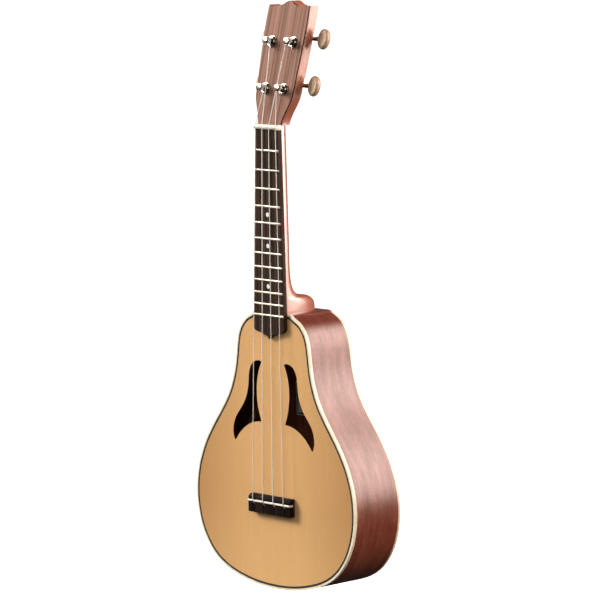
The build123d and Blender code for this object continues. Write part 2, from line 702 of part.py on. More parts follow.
def tuner_plate():
    """Base plate on the headstock's back, with two ears that carry the worm's shaft."""
    front, back = -HEAD_THICKNESS, -(HEAD_THICKNESS + TUNER_PLATE_THICKNESS)
    plate = Pos(0, 2.5, 0) * RectangleRounded(11.0, 31.0, 3.5)
    bar = RectangleRounded(EAR_OUTER_X - EAR_INNER_X + EAR_THICKNESS, 8.0, 0.8)
    plate += Pos((EAR_OUTER_X + EAR_INNER_X) / 2, WORM_DISTANCE) * bar
    solid = extrude(Pos(0, 0, back) * plate, amount=front - back)
    ear_back = -(WORM_BACK + EAR_REACH)
    for x in (EAR_INNER_X, EAR_OUTER_X):
        ear = Box(EAR_THICKNESS, 2 * EAR_REACH, front - ear_back)
        ear = Pos(x, WORM_DISTANCE, (front + ear_back) / 2) * ear
        ear = fillet(ear.edges().filter_by(Axis.X).group_by(Axis.Z)[0], 3.2)
        lobe_z = ear_back + LOBE_RADIUS
        lobe = Rot(0, 90, 0) * Cylinder(LOBE_RADIUS, EAR_THICKNESS)
        web = Box(EAR_THICKNESS, LOBE_RISE, front - lobe_z)
        lobe_y = WORM_DISTANCE + LOBE_RISE
        solid += ear + Pos(x, lobe_y, lobe_z) * lobe
        solid += Pos(x, lobe_y - LOBE_RISE / 2, (front + lobe_z) / 2) * web
    solid -= rod_along_x(SHAFT_RADIUS + RUNNING_GAP, -20, 20)
    solid -= disc(POST_RADIUS + RUNNING_GAP, back - 1, front + 1)
    for spot in SCREW_SPOTS:
        solid -= disc(SCREW_RADIUS, back - 1, front + 1, y=spot)
    return solid


def string_winding(name):
    """Turns of a string on its post, beyond the string's straight run."""
    radius = STRING_RADII[name]
    rings = []
    for i in range(WINDING_TURNS):
        level = STRING_LEVEL + (i + 1) * (2 * radius + 0.05)
        rings.append(Pos(0, 0, level) * Torus(POST_RADIUS + radius, radius))
    return group(rings)


def plate_screw(spot):
    back = -(HEAD_THICKNESS + TUNER_PLATE_THICKNESS)
    head = disc(2.0, back - 1.1, back, y=spot)
    head = fillet(head.edges().group_by(Axis.Z)[0], 0.8)
    head -= Pos(0, spot, back - 1.1) * (Box(2.6, 0.5, 1.0) + Box(0.5, 2.6, 1.0))
    return head + disc(SCREW_RADIUS, back, back + TUNER_PLATE_THICKNESS + SCREW_LENGTH - 0.2, y=spot)


def bushing_nut():
    hexagon = RegularPolygon(HEX_ACROSS_FLATS / 2, 6, major_radius=False)
    solid = extrude(Pos(0, 0, WASHER_THICKNESS) * hexagon, amount=HEX_HEIGHT)
    dome = Cone(HEX_ACROSS_FLATS / 2 + 2.6, 3.4, HEX_HEIGHT + 1, align=BASE_DOWN)
    solid &= Pos(0, 0, WASHER_THICKNESS) * dome
    solid += disc(BUSHING_SLEEVE_RADIUS, -BUSHING_SLEEVE_LENGTH, WASHER_THICKNESS)
    return solid - disc(POST_RADIUS + RUNNING_GAP, -20, 20)


def bushing_washer():
    ring = disc(WASHER_RADIUS, 0, WASHER_THICKNESS)
    ring = fillet(ring.edges().group_by(Axis.Z)[-1], 0.3)
    return ring - disc(BUSHING_SLEEVE_RADIUS, -1, 2)


def on_head(name, solid):
    """A tuner piece moved to its post, mirrored for the posts on the left."""
    x, s = POSTS[name]
    if x < 0:
        solid = mirror(solid, Plane.YZ)
    return head_place(x, s) * solid


def on_all_posts(solids):
    placed = [on_head(name, solid) for name in POSTS for solid in solids]
    return group(placed)


# ---------------------------------------------------------------- write every node
def all_nodes():
    rib_left, rib_right = ribs()
    nodes = {
        "soundboard": soundboard(), "back_plate": back_plate(),
        "rib_left": rib_left, "rib_right": rib_right,
        "front_binding": front_binding(), "front_purfling": front_purfling(),
        "back_binding": back_binding(),
        "front_linings": front_linings(), "back_linings": back_linings(),
        "neck_block": neck_block(), "tail_block": tail_block(),
        "front_braces": front_braces(), "fan_braces": fan_braces(),
        "bridge_patch": bridge_patch(), "back_braces": back_braces(),
        "paper_label": paper_label(),
        "neck": neck(), "headstock_veneer": headstock_veneer(),
        "fingerboard": fingerboard(), "frets": frets(), "fret_markers": fret_markers(),
        "nut": nut(), "bridge": bridge(), "saddle": saddle(),
        "bushing_nuts": on_all_posts([bushing_nut()]),
        "bushing_washers": on_all_posts([bushing_washer()]),
        "plate_screws": on_all_posts([plate_screw(spot) for spot in SCREW_SPOTS]),
    }
    shared = {"tuner_plate": tuner_plate(), "worm_shaft": worm_shaft(), "tuner_button": button(),
              "tuner_gear": gear(), "tuner_post": post(), "gear_screw": gear_screw()}
    for name in STRING_NAMES:
        nodes[f"string_{name}"] = string(name)
        nodes[f"string_winding_{name}"] = on_head(name, string_winding(name))
        for piece, solid in shared.items():
            nodes[f"{piece}_{name}"] = on_head(name, solid)
    return nodes


def main():
    os.makedirs("parts", exist_ok=True)
    to_hanger = Pos(0, -HANGER_Y, -HANGER_Z)
    for node, solid in all_nodes().items():
        export_step(to_hanger * solid, f"parts/{node}.step")


main()
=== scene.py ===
from math import cos, pi, radians, sin
import json

import bpy
from mathutils import Matrix, Vector


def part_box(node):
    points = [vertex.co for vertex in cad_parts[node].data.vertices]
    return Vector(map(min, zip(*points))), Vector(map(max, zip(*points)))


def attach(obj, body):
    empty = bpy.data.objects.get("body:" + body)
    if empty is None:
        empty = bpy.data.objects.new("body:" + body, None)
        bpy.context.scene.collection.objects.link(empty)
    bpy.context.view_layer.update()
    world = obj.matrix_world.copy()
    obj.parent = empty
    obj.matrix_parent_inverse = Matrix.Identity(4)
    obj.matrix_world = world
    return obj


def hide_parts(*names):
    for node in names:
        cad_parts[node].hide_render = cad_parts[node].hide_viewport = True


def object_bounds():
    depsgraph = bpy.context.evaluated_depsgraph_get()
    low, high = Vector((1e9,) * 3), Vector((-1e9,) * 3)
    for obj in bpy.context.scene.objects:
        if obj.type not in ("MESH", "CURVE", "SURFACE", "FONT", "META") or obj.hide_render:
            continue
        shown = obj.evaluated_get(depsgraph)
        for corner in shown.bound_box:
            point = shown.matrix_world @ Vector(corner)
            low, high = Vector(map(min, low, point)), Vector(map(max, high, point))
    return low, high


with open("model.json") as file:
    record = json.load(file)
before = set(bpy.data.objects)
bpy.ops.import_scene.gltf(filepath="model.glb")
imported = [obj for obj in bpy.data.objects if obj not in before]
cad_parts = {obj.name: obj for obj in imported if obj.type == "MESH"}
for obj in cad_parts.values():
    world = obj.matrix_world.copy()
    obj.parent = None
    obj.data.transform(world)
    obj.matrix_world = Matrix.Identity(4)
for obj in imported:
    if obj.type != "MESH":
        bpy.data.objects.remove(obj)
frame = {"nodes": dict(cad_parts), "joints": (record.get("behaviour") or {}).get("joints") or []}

CAD_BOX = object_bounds()
STRINGS = ("g", "c", "e", "a")
MM = 0.001

# ---------------------------------------------------------------- sizes, in metres
STRING_RADII = {"g": 0.36 * MM, "c": 0.46 * MM, "e": 0.41 * MM, "a": 0.34 * MM}
POST_RADIUS = 3.0 * MM
STRING_LEVEL = 5.9 * MM         # height over the veneer at which a string reaches its post
STRING_HOLE_LEVEL = 8.3 * MM    # height of the hole through the post
WINDING_TURNS = 2.25
WINDING_STEPS = 16              # points for each turn
HEAD_TILT = 14.2                # degrees
BODY_MIDDLE = (0.0, 0.02, -0.33)

BUTTON_REACH = 23.2 * MM        # from the key's joint to the button's middle
BUTTON_HALF_LENGTH = 6.2 * MM
BUTTON_HALF_HEIGHT = 9.7 * MM
BUTTON_HALF_THICKNESS = 3.6 * MM
BUTTON_AROUND = 64              # points round each ring of the button
# The button's front half, from its middle to its rim: (share of the outline, share of the depth).
# The dip at a share of 0.8 is the moulded line.
BUTTON_PROFILE = [
    (0.0, 0.80), (0.35, 0.81), (0.60, 0.825), (0.74, 0.835), (0.79, 0.825), (0.805, 0.79),
    (0.82, 0.79), (0.84, 0.80), (0.87, 0.765), (0.91, 0.68), (0.95, 0.53), (0.98, 0.33),
    (0.995, 0.12),
]

LABEL_LINE = (1.0 * MM, 2.4 * MM)   # printed border, measured in from the label's edge
LABEL_LINE_BLUR = 0.2 * MM

CAMERA_YAW = 46.0               # degrees
CAMERA_PITCH = 7.125
CAMERA_ROLL = -0.572
CAMERA_DISTANCE = 3.3321
CAMERA_TARGET = Vector((0.04258, -0.011, -0.18004))
CAMERA_LENS = 216.0             # millimetres
CAMERA_SENSOR = 36.0
CAMERA_FAR = 100.0
KEY_DIRECTION = (-0.66, -0.56, 0.50)
SIDE_DIRECTION = (0.60, 0.70, 0.34)
FRONT_DIRECTION = (0.75, -0.75, 0.55)
FLOOR_DROP = 0.24               # the floor lies this far under the hanging instrument
FLOOR_REACH = 60.0
BACKDROP_RADIUS = 20.0          # also its height
BACKDROP_SIDES = 24


# ---------------------------------------------------------------- node helpers
class Paint:
    """A material with a Principled shader, and short calls for the nodes that feed it."""

    def __init__(self, name, **constants):
        self.material = bpy.data.materials.new(name)
        self.material.use_nodes = True
        self.tree = self.material.node_tree
        self.shader = self.tree.nodes["Principled BSDF"]
        for socket, value in constants.items():
            self.shader.inputs[socket.replace("_", " ")].default_value = value
        self.place = self.node("ShaderNodeTexCoord").outputs["Object"]

    def node(self, kind, **settings):
        made = self.tree.nodes.new(kind)
        for name, value in settings.items():
            setattr(made, name, value)
        return made

    def join(self, source, target):
        """Feeds a socket from another socket, or sets it to a constant."""
        if isinstance(source, bpy.types.NodeSocket):
            self.tree.links.new(source, target)
        else:
            target.default_value = source

    def axis(self, name):
        """One object coordinate."""
        axes = self.node("ShaderNodeSeparateXYZ")
        self.join(self.place, axes.inputs["Vector"])
        return axes.outputs[name]

    def stretched(self, scale, turn=(0, 0, 0)):
        """Object coordinates turned by degrees, then multiplied by a scale for each axis."""
        turned = self.node("ShaderNodeMapping", vector_type="POINT")
        self.join(self.place, turned.inputs["Vector"])
        turned.inputs["Rotation"].default_value = [radians(angle) for angle in turn]
        scaled = self.node("ShaderNodeMapping", vector_type="POINT")
        self.join(turned.outputs["Vector"], scaled.inputs["Vector"])
        scaled.inputs["Scale"].default_value = scale
        return scaled.outputs["Vector"]

    def noise(self, vector, scale=1.0, detail=4.0, roughness=0.55, distortion=0.0):
        texture = self.node("ShaderNodeTexNoise")
        self.join(vector, texture.inputs["Vector"])
        texture.inputs["Scale"].default_value = scale
        texture.inputs["Detail"].default_value = detail
        texture.inputs["Roughness"].default_value = roughness
        texture.inputs["Distortion"].default_value = distortion
        return texture.outputs["Fac"]

    def bands(self, vector, scale, distortion):
        """Parallel lines across X, a little uneven."""
        texture = self.node("ShaderNodeTexWave", wave_type="BANDS", bands_direction="X")
        self.join(vector, texture.inputs["Vector"])
        texture.inputs["Scale"].default_value = scale
        texture.inputs["Distortion"].default_value = distortion
        texture.inputs["Detail"].default_value = 2.0
        texture.inputs["Detail Scale"].default_value = 0.3
        return texture.outputs["Fac"]

    def ramp(self, factor, *stops):
        """Colours or grey levels at given factors."""
        ramp = self.node("ShaderNodeValToRGB")
        self.join(factor, ramp.inputs["Fac"])
        elements = ramp.color_ramp.elements
        while len(elements) < len(stops):
            elements.new(0.5)
        for element, (position, colour) in zip(elements, stops):
            element.position = position
            element.color = colour if len(colour) == 4 else (*colour, 1.0)
        return ramp.outputs["Color"]

    def levels(self, factor, low, high, out_low=0.0, out_high=1.0):
        """A factor stretched from low..high to out_low..out_high, and clamped."""
        remap = self.node("ShaderNodeMapRange")
        for socket, value in zip(("Value", "From Min", "From Max", "To Min", "To Max"),
                                 (factor, low, high, out_low, out_high)):
            self.join(value, remap.inputs[socket])
        return remap.outputs["Result"]

    def mix(self, factor, first, second, blend="MIX"):
        mix = self.node("ShaderNodeMix", data_type="RGBA", blend_type=blend)
        self.join(factor, mix.inputs["Factor"])
        for value, socket in ((first, mix.inputs[6]), (second, mix.inputs[7])):
            self.join((*value, 1.0) if isinstance(value, tuple) else value, socket)
        return mix.outputs[2]

    def math(self, operation, first, second=0.0):
        node = self.node("ShaderNodeMath", operation=operation)
        self.join(first, node.inputs[0])
        self.join(second, node.inputs[1])
        return node.outputs[0]

    def blend(self, first, share, second):
        """A share of the first factor, and the rest from the second."""
        return self.math("ADD", self.math("MULTIPLY", first, share),
                         self.math("MULTIPLY", second, 1.0 - share))

    def normal(self):
        """The surface's own direction, before any bump."""
        return self.node("ShaderNodeNewGeometry").outputs["True Normal"]

    def edge_on(self):
        """1 on the walls that stand square to the instrument's face, 0 on its front and back."""
        axes = self.node("ShaderNodeSeparateXYZ")
        self.join(self.normal(), axes.inputs["Vector"])
        return self.levels(self.math("ABSOLUTE", axes.outputs["Y"]), 0.65, 0.35)

    def inward(self, centre):
        """1 on surfaces that look towards a point inside the body, 0 on those that look away."""
        away = self.node("ShaderNodeVectorMath", operation="SUBTRACT")
        self.join(self.place, away.inputs[0])
        away.inputs[1].default_value = centre
        dot = self.node("ShaderNodeVectorMath", operation="DOT_PRODUCT")
        self.join(away.outputs["Vector"], dot.inputs[0])
        self.join(self.normal(), dot.inputs[1])
        return self.levels(dot.outputs["Value"], 2 * MM, -2 * MM)

    def bump(self, height, strength, distance):
        bump = self.node("ShaderNodeBump")
        bump.inputs["Strength"].default_value = strength
        bump.inputs["Distance"].default_value = distance
        self.join(height, bump.inputs["Height"])
        self.join(bump.outputs["Normal"], self.shader.inputs["Normal"])

    def feed(self, socket, source):
        self.join(source, self.shader.inputs[socket])


def sized(across, along):
    """Mapping scale for grain of these sizes in metres, running along Z."""
    return (1.0 / across, 1.0 / across, 1.0 / along)


# ---------------------------------------------------------------- woods
def spruce():
    """Lacquered spruce top: close straight grain with faint silk, painted shade towards its sides
    and on its walls, and painted light low down.
    """
    paint = Paint("spruce", Coat_Weight=0.15, Coat_Roughness=0.3, Specular_IOR_Level=0.25)
    late = paint.bands(paint.stretched((1.0, 0.3, 0.02)), 235.0, 2.2)
    fine = paint.noise(paint.stretched(sized(0.5 * MM, 60 * MM)), detail=5.0)
    broad = paint.noise(paint.stretched(sized(16 * MM, 260 * MM)), detail=2.0)
    silk = paint.noise(paint.stretched((130.0, 60.0, 900.0), turn=(0, 7, 0)), detail=3.0)
    lines = paint.blend(late, 0.55, fine)
    colour = paint.ramp(lines, (0.12, (0.780, 0.480, 0.215)), (0.55, (0.700, 0.400, 0.160)),
                        (0.9, (0.430, 0.210, 0.072)))
    colour = paint.mix(paint.levels(broad, 0.35, 0.75, 0.0, 0.45), colour, (0.640, 0.350, 0.140))
    colour = paint.mix(paint.levels(silk, 0.55, 0.8, 0.0, 0.22), colour, (0.850, 0.590, 0.320))
    # Painted shade: the top is darkened towards its left and right sides, where the light falls
    # off.
    side = paint.levels(paint.math("ABSOLUTE", paint.axis("X")), 30 * MM, 105 * MM, 0.0, 0.9)
    colour = paint.mix(side, colour, (0.470, 0.240, 0.088))
    # Painted light: the lowest part of the top is lightened.
    painted_light_foot = paint.levels(paint.axis("Z"), -380 * MM, -450 * MM, 0.0, 0.2)
    colour = paint.mix(painted_light_foot, colour, (0.900, 0.560, 0.250))
    # Painted shade: the walls square to the face, the sound holes' walls among them, are painted
    # nearly black.
    colour = paint.mix(paint.edge_on(), colour, (0.030, 0.012, 0.006))
    paint.feed("Base Color", colour)
    paint.feed("Roughness", paint.levels(fine, 0.2, 0.8, 0.34, 0.5))
    paint.bump(lines, 0.2, 0.1 * MM)
    return paint.material


RIB_GRAIN = {"ribbon": (20.0, 150.0, 20.0), "fine": (120.0, 1300.0, 120.0),
             "pores": (420.0, 2200.0, 420.0), "cloud": (24.0, 9.0, 24.0)}
PLATE_GRAIN = {"ribbon": (120.0, 120.0, 6.0), "fine": (1300.0, 1300.0, 16.0),
               "pores": (3800.0, 3800.0, 150.0), "cloud": (22.0, 22.0, 9.0)}


def mahogany(name, grain, deep, mid, light, coat_ior=1.5, gloss=0.14, painted_inner_shade_and_thin_coat=False,
             satin_head=False):
    """Open-pored reddish wood under lacquer. grain holds the mapping scales of its figure.

    painted_inner_shade_and_thin_coat paints shade on the surfaces that look into the body, and
    lets the lacquer thin out along the grain. satin_head thins the lacquer over the headstock.
    """
    paint = Paint(name, Coat_Weight=0.9, Coat_Roughness=gloss, Coat_IOR=coat_ior,
                  Specular_IOR_Level=0.25)
    ribbon = paint.noise(paint.stretched(grain["ribbon"]), detail=3.0, distortion=0.3)
    fine = paint.noise(paint.stretched(grain["fine"]), detail=6.0, roughness=0.65)
    pores = paint.noise(paint.stretched(grain["pores"]), detail=2.0)
    cloud = paint.noise(paint.stretched(grain["cloud"]), detail=3.0, distortion=0.6)
    figure = paint.blend(ribbon, 0.5, fine)
    colour = paint.ramp(figure, (0.3, deep), (0.5, mid), (0.72, light))
    colour = paint.mix(paint.levels(cloud, 0.4, 0.7, 0.0, 0.5), colour, mid, "SOFT_LIGHT")
    pits = paint.levels(pores, 0.52, 0.66)
    colour = paint.mix(paint.math("MULTIPLY", pits, 0.7), colour, tuple(0.45 * c for c in deep))
    if painted_inner_shade_and_thin_coat:
        # Painted shade: surfaces that look into the body are darkened as if lying in its shade.
        colour = paint.mix(paint.inward(BODY_MIDDLE), colour, tuple(0.35 * c for c in deep))
        paint.feed("Coat Weight", paint.levels(figure, 0.38, 0.62, 0.55, 1.0))
    if satin_head:
        paint.feed("Coat Weight", paint.levels(paint.axis("Z"), -8 * MM, 8 * MM, 1.0, 0.36))
    paint.feed("Base Color", colour)
    paint.feed("Roughness", paint.levels(fine, 0.3, 0.7, 0.3, 0.45))
    paint.bump(paint.math("SUBTRACT", fine, pits), 0.15, 0.06 * MM)
    return paint.material


def rosewood(name, deep, mid, light, streak, turn=0.0, gloss=0.15, roughness=(0.45, 0.6),
             painted_rim_shade=None):
    """Streaked wood whose grain runs up the neck, tilted with the headstock where needed.

    streak is the width of its stripes, and painted_rim_shade the painted shade colour of its side
    walls.
    """
    paint = Paint(name, Specular_IOR_Level=gloss)
    tilt = (turn, 0, 0)
    streaks = paint.noise(paint.stretched(sized(streak, 90 * streak), tilt), detail=4.0)
    fine = paint.noise(paint.stretched(sized(0.5 * MM, 70 * MM), tilt), detail=5.0, roughness=0.6)
    pores = paint.noise(paint.stretched(sized(0.2 * MM, 7 * MM), tilt), detail=1.0)
    figure = paint.blend(streaks, 0.75, fine)
    colour = paint.ramp(figure, (0.38, deep), (0.52, mid), (0.66, light))
    pits = paint.levels(pores, 0.6, 0.7)
    colour = paint.mix(paint.math("MULTIPLY", pits, 0.35), colour, tuple(0.4 * c for c in deep))
    # Painted shade: the side walls square to the face get a dark shadow line.
    if painted_rim_shade:
        colour = paint.mix(paint.edge_on(), colour, painted_rim_shade)
    paint.feed("Base Color", colour)
    paint.feed("Roughness", paint.levels(fine, 0.3, 0.7, *roughness))
    paint.bump(paint.math("SUBTRACT", fine, pits), 0.2, 0.06 * MM)
    return paint.material


def bare_wood():
    """Unfinished wood of the linings, blocks and braces."""
    paint = Paint("bare_wood", Specular_IOR_Level=0.25)
    fine = paint.noise(paint.stretched((700.0, 700.0, 60.0)), detail=5.0)
    broad = paint.noise(paint.stretched((60.0, 60.0, 12.0)), detail=2.0)
    colour = paint.ramp(fine, (0.3, (0.150, 0.075, 0.040)), (0.7, (0.270, 0.150, 0.080)))
    colour = paint.mix(paint.levels(broad, 0.4, 0.7, 0.0, 0.4), colour, (0.120, 0.060, 0.032))
    paint.feed("Base Color", colour)
    paint.feed("Roughness", paint.levels(fine, 0.3, 0.7, 0.6, 0.8))
    paint.bump(fine, 0.3, 0.1 * MM)
    return paint.material


# ---------------------------------------------------------------- plastics, bone, paper, nylon
def moulded(name, base, shade, roughness=(0.22, 0.36), swirl=90.0, coat=0.3, subsurface=0.0):
    """Plastic or bone with a faint cloud in its colour and a fine unevenness in its gloss."""
    paint = Paint(name, Coat_Weight=coat, Coat_Roughness=0.12, Subsurface_Weight=subsurface,
                  Subsurface_Scale=1.5 * MM)
    cloud = paint.noise(paint.place, swirl, detail=3.0, distortion=1.2)
    speck = paint.noise(paint.place, 2600.0, detail=2.0)
    colour = paint.ramp(cloud, (0.35, shade), (0.62, base))
    colour = paint.mix(paint.levels(speck, 0.6, 0.8, 0.0, 0.15), colour, shade)
    paint.feed("Base Color", colour)
    paint.feed("Roughness", paint.levels(speck, 0.3, 0.7, *roughness))
    paint.bump(speck, 0.06, 0.03 * MM)
    return paint.material


def pearl():
    """Mother-of-pearl dots with broken pastel bands."""
    paint = Paint("pearl", Coat_Weight=0.7, Coat_Roughness=0.08)
    drift = paint.noise(paint.place, 420.0, detail=3.0, distortion=2.5)
    colour = paint.ramp(drift, (0.3, (0.78, 0.72, 0.66)), (0.45, (0.92, 0.90, 0.86)),
                        (0.58, (0.74, 0.80, 0.80)), (0.72, (0.95, 0.90, 0.84)))
    paint.feed("Base Color", colour)
    paint.feed("Roughness", paint.levels(drift, 0.3, 0.7, 0.18, 0.32))
    paint.bump(drift, 0.08, 0.05 * MM)
    return paint.material


def paper():
    """Blank aged label with a printed border line."""
    paint = Paint("label_paper", Specular_IOR_Level=0.15)
    low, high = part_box("paper_label")
    inside = []
    for axis, index in (("X", 0), ("Z", 2)):
        middle, half = (low[index] + high[index]) / 2, (high[index] - low[index]) / 2
        away = paint.math("ABSOLUTE", paint.math("SUBTRACT", paint.axis(axis), middle))
        inside.append(paint.math("SUBTRACT", half, away))
    edge = paint.math("MINIMUM", *inside)
    outer, inner = LABEL_LINE
    line = paint.math("MULTIPLY", paint.levels(edge, outer, outer + LABEL_LINE_BLUR),
                      paint.levels(edge, inner, inner - LABEL_LINE_BLUR))
    fibre = paint.noise(paint.place, 900.0, detail=5.0)
    stain = paint.noise(paint.place, 70.0, detail=3.0)
    colour = paint.ramp(fibre, (0.3, (0.800, 0.740, 0.650)), (0.7, (0.900, 0.840, 0.760)))
    colour = paint.mix(paint.levels(stain, 0.4, 0.7, 0.0, 0.35), colour, (0.520, 0.450, 0.370))
    colour = paint.mix(line, colour, (0.030, 0.028, 0.030))
    paint.feed("Base Color", colour)
    paint.feed("Roughness", paint.levels(fibre, 0.3, 0.7, 0.75, 0.9))
    paint.bump(fibre, 0.2, 0.05 * MM)
    return paint.material


def nylon():
    """Clear white string with faint drawing lines along it."""
    paint = Paint("nylon", Specular_IOR_Level=0.8, Coat_Weight=1.0, Coat_Roughness=0.2)
    lines = paint.noise(paint.stretched((5200.0, 5200.0, 60.0)), detail=2.0)
    colour = paint.ramp(lines, (0.3, (0.97, 0.93, 0.87)), (0.7, (1.0, 0.98, 0.95)))
    paint.feed("Base Color", colour)
    paint.feed("Roughness", paint.levels(lines, 0.3, 0.7, 0.25, 0.4))
    paint.bump(lines, 0.05, 0.02 * MM)
    return paint.material


# ---------------------------------------------------------------- metals
def metal(name, bright, dull, roughness=(0.08, 0.2), brushed=(900.0, 900.0, 900.0), metallic=1.0):
    """Plated metal with hairline scratches, and a tarnish that gathers in patches."""
    paint = Paint(name, Metallic=metallic)
    hairs = paint.noise(paint.stretched(brushed), detail=4.0, roughness=0.7)
    patches = paint.noise(paint.place, 260.0, detail=4.0, distortion=0.5)
    colour = paint.ramp(patches, (0.38, dull), (0.6, bright))
    paint.feed("Base Color", colour)
    smooth = paint.levels(hairs, 0.3, 0.7, *roughness)
    paint.feed("Roughness", paint.math("ADD", smooth, paint.levels(patches, 0.5, 0.3, 0.0, 0.08)))
    paint.bump(hairs, 0.05, 0.02 * MM)
    return paint.material


# ---------------------------------------------------------------- dressing CAD nodes
SMOOTH_ANGLE = radians(32.0)    # faces that meet at more than this keep a sharp edge


def dress(names, material, rounding=0.0, flat=False):
    """Gives CAD nodes a material and smooth shading.

    rounding softens their edges, and flat keeps the shading of wide flat faces even.
    """
    for name in names:
        node = frame["nodes"][name]
        node.data.materials.clear()
        node.data.materials.append(material)
        imported = node.data.attributes.get("custom_normal")
        if imported:
            node.data.attributes.remove(imported)
        weld = node.modifiers.new("weld", "WELD")
        weld.merge_threshold = 0.001 * MM
        if rounding:
            bevel = node.modifiers.new("bevel", "BEVEL")
            bevel.width = rounding
            bevel.segments = 3
            bevel.limit_method = "ANGLE"
            bevel.angle_limit = SMOOTH_ANGLE
            bevel.use_clamp_overlap = True
        node.data.shade_smooth()
        split = node.modifiers.new("edges", "EDGE_SPLIT")
        split.split_angle = SMOOTH_ANGLE
        split.use_edge_sharp = False
        if flat:
            level = node.modifiers.new("level", "WEIGHTED_NORMAL")
            level.weight = 100


def each(prefix):
    return [f"{prefix}_{name}" for name in STRINGS]


def dress_nodes():
    sides = mahogany("mahogany_sides", RIB_GRAIN, (0.115, 0.024, 0.011), (0.215, 0.054, 0.028),
                     (0.340, 0.104, 0.056), coat_ior=1.56, gloss=0.36, painted_inner_shade_and_thin_coat=True)
    solid = mahogany("mahogany_neck", PLATE_GRAIN, (0.330, 0.092, 0.048), (0.470, 0.155, 0.086),
                     (0.600, 0.240, 0.145), coat_ior=2.6, gloss=0.3, satin_head=True)
    back = mahogany("mahogany_back", PLATE_GRAIN, (0.150, 0.040, 0.020), (0.260, 0.080, 0.045),
                    (0.370, 0.135, 0.080))
    dark = rosewood("fingerboard_rosewood", (0.012, 0.006, 0.0035), (0.036, 0.018, 0.011),
                    (0.095, 0.054, 0.037), 2.2 * MM, gloss=0.1)
    bridge_wood = rosewood("bridge_rosewood", (0.005, 0.003, 0.002), (0.014, 0.007, 0.005),
                           (0.040, 0.021, 0.015), 3.0 * MM, gloss=0.05)
    veneer = rosewood("headstock_rosewood", (0.150, 0.076, 0.055), (0.285, 0.146, 0.105),
                      (0.390, 0.208, 0.150), 3.0 * MM, turn=HEAD_TILT, roughness=(0.6, 0.75),
                      painted_rim_shade=(0.060, 0.024, 0.014))
    cream = moulded("cream_binding", (0.88, 0.80, 0.62), (0.78, 0.67, 0.47), coat=0.3)
    white = moulded("white_bone", (0.84, 0.79, 0.68), (0.74, 0.66, 0.52), coat=0.2, subsurface=0.1)
    black = moulded("black_purfling", (0.012, 0.012, 0.012), (0.022, 0.021, 0.020), coat=0.5)
    nickel = metal("nickel", (0.44, 0.40, 0.34), (0.25, 0.205, 0.16), roughness=(0.05, 0.13))
    dark_metal = metal("worm_steel", (0.42, 0.30, 0.22), (0.22, 0.13, 0.08),
                       roughness=(0.12, 0.25))
    brass = metal("gear_brass", (0.80, 0.60, 0.30), (0.52, 0.34, 0.15), roughness=(0.18, 0.32))
    wire = metal("fret_wire", (0.80, 0.72, 0.58), (0.68, 0.60, 0.47), roughness=(0.3, 0.42),
                 brushed=(60.0, 3000.0, 3000.0), metallic=0.55)
    wood = bare_wood()

    dress(["soundboard"], spruce(), 0.2 * MM, flat=True)
    dress(["rib_left", "rib_right"], sides)
    dress(["back_plate"], back)
    dress(["neck"], solid, 0.5 * MM)
    dress(["headstock_veneer"], veneer, 0.3 * MM, flat=True)
    dress(["fingerboard"], dark, 0.3 * MM, flat=True)
    dress(["bridge"], bridge_wood, 0.1 * MM, flat=True)
    dress(["front_binding", "back_binding"], cream, 0.5 * MM)
    dress(["front_purfling"], black)
    dress(["nut"], white, 0.3 * MM)
    dress(["saddle"], white, 0.2 * MM)
    dress(["fret_markers"], pearl())
    dress(["frets"], wire, 0.1 * MM)
    dress(["paper_label"], paper())
    dress(["front_linings", "back_linings", "neck_block", "tail_block", "front_braces",
           "fan_braces", "bridge_patch", "back_braces"], wood, 0.4 * MM)
    dress(each("string"), nylon())
    dress(["bushing_nuts"], nickel, 0.35 * MM)
    dress(["bushing_washers"], nickel, 0.15 * MM)
    dress(["plate_screws"] + each("gear_screw"), nickel, 0.12 * MM)
    dress(each("tuner_post"), nickel, 0.2 * MM)
    dress(each("tuner_plate"), nickel, 0.2 * MM)
    dress(each("worm_shaft"), dark_metal, 0.08 * MM)
    dress(each("tuner_gear"), brass, 0.08 * MM)


# ---------------------------------------------------------------- pieces modelled here
def joint(name):
    """A joint's point and axis in the row frame."""
    found = next(j for j in frame["joints"] if j["name"] == name)
    return Vector(found["pos_m"]), Vector(found["axis"]).normalized()


def add_mesh(name, points, faces, material):
    mesh = bpy.data.meshes.new(name)
    mesh.from_pydata([tuple(p) for p in points], [], faces)
    mesh.materials.append(material)
    mesh.shade_smooth()
    mesh.update()
    piece = bpy.data.objects.new(name, mesh)
    bpy.context.scene.collection.objects.link(piece)
    return piece


def tube(name, points, radius, material):
    """A round smooth cord through a list of points."""
    curve = bpy.data.curves.new(name, "CURVE")
    curve.dimensions = "3D"
    curve.bevel_depth = radius
    curve.bevel_resolution = 5
    curve.resolution_u = 3
    curve.use_fill_caps = True
    spline = curve.splines.new("NURBS")
    spline.points.add(len(points) - 1)
    for target, point in zip(spline.points, points):
        target.co = (*point, 1.0)
    spline.order_u = 3
    spline.use_endpoint_u = True
    curve.materials.append(material)
    piece = bpy.data.objects.new(name, curve)
    bpy.context.scene.collection.objects.link(piece)
    return piece


def head_axes():
    """Unit vectors of the headstock: across, towards its tip, and out of its face."""
    tilt = radians(HEAD_TILT)
    return Vector((1, 0, 0)), Vector((0, sin(tilt), cos(tilt))), Vector((0, -cos(tilt), sin(tilt)))


